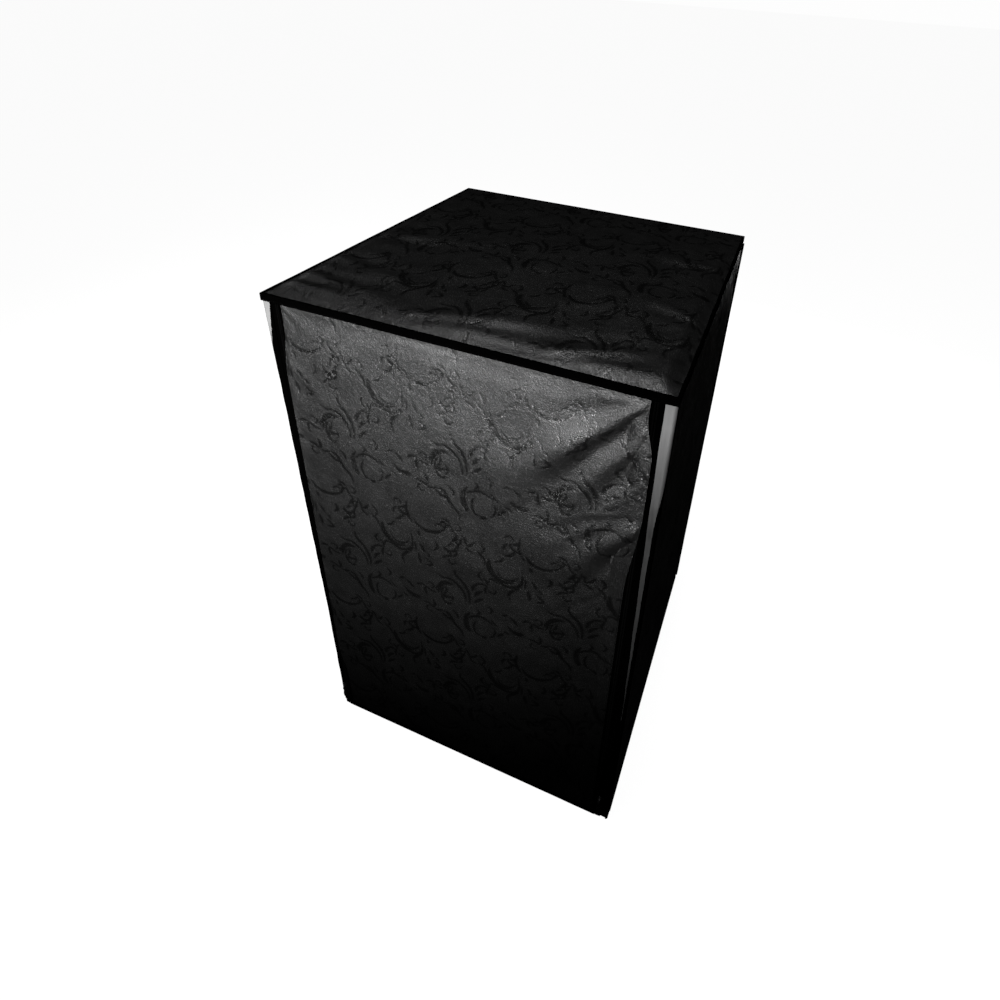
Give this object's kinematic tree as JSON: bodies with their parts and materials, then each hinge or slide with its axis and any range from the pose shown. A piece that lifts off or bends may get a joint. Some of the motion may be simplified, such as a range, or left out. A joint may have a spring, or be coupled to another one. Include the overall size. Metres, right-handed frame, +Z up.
{
  "type": "printer enclosure tent",
  "caption": "Tall box tent of black embossed leatherette over a tube frame, its front a cloth door that unzips at both sides and flips up over the top.",
  "frame": {"origin": "on the floor, under the middle of the box", "axes": "+X to the right, +Y to the rear, +Z up; the zipped door faces -Y"},
  "size_m": [0.5664, 0.5712, 0.902],
  "materials": {
    "embossed_cloth": "black coated cloth with a fine leather grain and a pressed leafy scroll pattern, satin sheen",
    "facing_cloth": "smooth coated cloth strip, glossy",
    "binding_tape": "black folded binding, matt",
    "zip_tape": "black woven zip tape, matt",
    "zip_coil": "black nylon coil",
    "zip_metal": "black lacquered zinc",
    "frame_tube": "black powder coat",
    "connector_plastic": "black moulded nylon",
    "foot_rubber": "black rubber",
    "hook_and_loop": "black hook and loop tape"
  },
  "bodies": {
    "tent": {"bottom_rail_front": "frame_tube", "bottom_rail_left": "frame_tube", "bottom_rail_rear": "frame_tube", "bottom_rail_right": "frame_tube", "corner_bottom_front_left": "connector_plastic", "corner_bottom_front_right": "connector_plastic", "corner_bottom_rear_left": "connector_plastic", "corner_bottom_rear_right": "connector_plastic", "corner_top_front_left": "connector_plastic", "corner_top_front_right": "connector_plastic", "corner_top_rear_left": "connector_plastic", "corner_top_rear_right": "connector_plastic", "facing_left": "facing_cloth", "facing_right": "facing_cloth", "foot_pads": "foot_rubber", "hem_left": "binding_tape", "hem_rear": "binding_tape", "hem_right": "binding_tape", "left_panel": "embossed_cloth", "port_binding": "binding_tape", "port_flap_header": "embossed_cloth", "port_loop_strip": "hook_and_loop", "rear_panel": "embossed_cloth", "rear_seam_left": "binding_tape", "rear_seam_right": "binding_tape", "right_panel": "embossed_cloth", "top_binding_front": "binding_tape", "top_binding_left": "binding_tape", "top_binding_rear": "binding_tape", "top_binding_right": "binding_tape", "top_panel": "embossed_cloth", "top_rail_front": "frame_tube", "top_rail_left": "frame_tube", "top_rail_rear": "frame_tube", "top_rail_right": "frame_tube", "upright_front_left": "frame_tube", "upright_front_right": "frame_tube", "upright_rear_left": "frame_tube", "upright_rear_right": "frame_tube", "zip_side_coil_left": "zip_coil", "zip_side_coil_right": "zip_coil", "zip_side_tape_left": "zip_tape", "zip_side_tape_right": "zip_tape"},
    "door_upper_half": {"door_upper": "embossed_cloth", "zip_door_coil_upper_left": "zip_coil", "zip_door_coil_upper_right": "zip_coil", "zip_door_tape_upper_left": "zip_tape", "zip_door_tape_upper_right": "zip_tape"},
    "door_lower_half": {"door_lower": "embossed_cloth", "hem_door": "binding_tape", "zip_door_coil_lower_left": "zip_coil", "zip_door_coil_lower_right": "zip_coil", "zip_door_tape_lower_left": "zip_tape", "zip_door_tape_lower_right": "zip_tape"},
    "slider_left": {"zip_slider_left": "zip_metal"},
    "slider_right": {"zip_slider_right": "zip_metal"},
    "pull_left": {"zip_pull_left": "zip_metal"},
    "pull_right": {"zip_pull_right": "zip_metal"},
    "port_flap_body": {"port_flap": "embossed_cloth", "port_hook_strip": "hook_and_loop"}
  },
  "joints": [
    {"name": "door_flip", "type": "hinge", "parent": "tent", "child": "door_upper_half", "pos_m": [0, -0.283, 0.903], "axis": [-1, 0, 0], "range_deg": [0, 268]},
    {"name": "door_fold", "type": "hinge", "parent": "door_upper_half", "child": "door_lower_half", "pos_m": [0, -0.2815, 0.33], "axis": [-1, 0, 0], "range_deg": [0, 90]},
    {"name": "zip_slide_left", "type": "slide", "parent": "tent", "child": "slider_left", "axis": [0, 0, 1], "range_m": [0, 0.82]},
    {"name": "zip_slide_right", "type": "slide", "parent": "tent", "child": "slider_right", "axis": [0, 0, 1], "range_m": [0, 0.82]},
    {"name": "pull_swing_left", "type": "hinge", "parent": "slider_left", "child": "pull_left", "pos_m": [-0.2616, -0.2845, 0.056], "axis": [-1, 0, 0], "range_deg": [0, 170]},
    {"name": "pull_swing_right", "type": "hinge", "parent": "slider_right", "child": "pull_right", "pos_m": [0.2616, -0.2845, 0.056], "axis": [-1, 0, 0], "range_deg": [0, 170]},
    {"name": "port_flap_lift", "type": "hinge", "parent": "tent", "child": "port_flap_body", "pos_m": [0, 0.2842, 0.1204], "axis": [1, 0, 0], "range_deg": [0, 165]}
  ]
}
